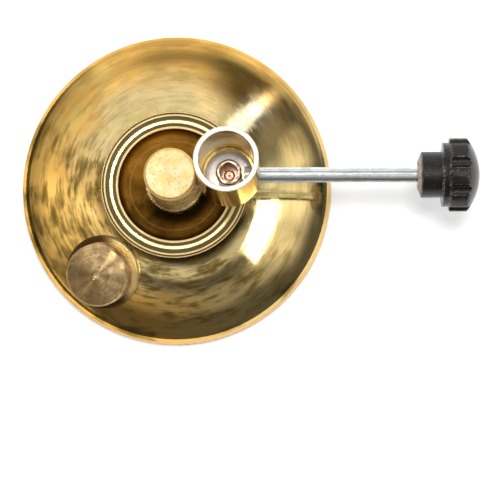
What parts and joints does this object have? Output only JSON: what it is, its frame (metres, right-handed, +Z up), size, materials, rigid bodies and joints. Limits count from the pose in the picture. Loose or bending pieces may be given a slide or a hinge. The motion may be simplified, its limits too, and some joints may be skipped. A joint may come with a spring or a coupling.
{
  "type": "alcohol blowlamp",
  "caption": "Seated brass alcohol blowlamp: round tank with screw filler cap, preheating bowl, closed riser, flame tube and sliding air sleeve on a rod with a fluted knob.",
  "frame": {"origin": "middle of the flat underside of the tank, on the riser's axis", "axes": "+Z up along the riser, +X along the adjusting rod towards its knob"},
  "size_m": [0.1877, 0.1302, 0.106],
  "materials": {
    "tank_brass": "spun and polished, fine lathe lines",
    "bowl_brass": "turned and polished",
    "tube_brass": "drawn tube, polished",
    "cast_brass": "rough, pale from brazing",
    "cap_brass": "turned, darkened",
    "braze_alloy": "dull braze",
    "copper": "turned copper",
    "plated_steel": "zinc plated, drawn lines",
    "black_moulding": "glossy phenolic moulding",
    "fibre_seal": "pressed fibre",
    "rubber_seal": "plain rubber",
    "cotton": "twisted cotton strands"
  },
  "bodies": {
    "lamp": {"tank_shell": "tank_brass", "base_plate": "tank_brass", "filler_boss": "tank_brass", "preheat_bowl": "bowl_brass", "riser_socket": "tube_brass", "socket_gasket": "fibre_seal", "riser_collar": "tube_brass", "riser_tube": "tube_brass", "riser_cap": "cast_brass", "wick_guide": "tube_brass", "wick": "cotton", "vapour_bridge": "tube_brass", "burner_body": "tube_brass", "flame_tube": "tube_brass", "braze_joint": "braze_alloy", "jet_holder": "tube_brass", "jet_washer": "copper", "jet": "copper"},
    "sleeve": {"air_sleeve": "tube_brass", "rod_nut": "tube_brass"},
    "control": {"adjusting_rod": "plated_steel", "knob": "black_moulding", "knob_insert": "tube_brass"},
    "cap_seal": {"cap_gasket": "rubber_seal"},
    "cap": {"filler_cap": "cap_brass"}
  },
  "joints": [
    {"name": "sleeve_slide", "type": "slide", "parent": "lamp", "child": "sleeve", "axis": [0, 0, 1], "range_m": [0, 0.012]},
    {"name": "knob_turn", "type": "hinge", "parent": "sleeve", "child": "control", "pos_m": [0, 0, 0.0575], "axis": [1, 0, 0], "range_deg": [0, 270]},
    {"name": "cap_lift", "type": "slide", "parent": "lamp", "child": "cap_seal", "axis": [-0.15, -0.1807, 0.972], "range_m": [0, 0.006]},
    {"name": "cap_turn", "type": "hinge", "parent": "cap_seal", "child": "cap", "pos_m": [-0.0297, -0.03578, 0.01806], "axis": [-0.15, -0.1807, 0.972], "range_deg": [0, 1441]}
  ],
  "couplings": [
    {"joint": "cap_turn", "follows": "cap_lift", "rad_per_m": 4188.8}
  ]
}
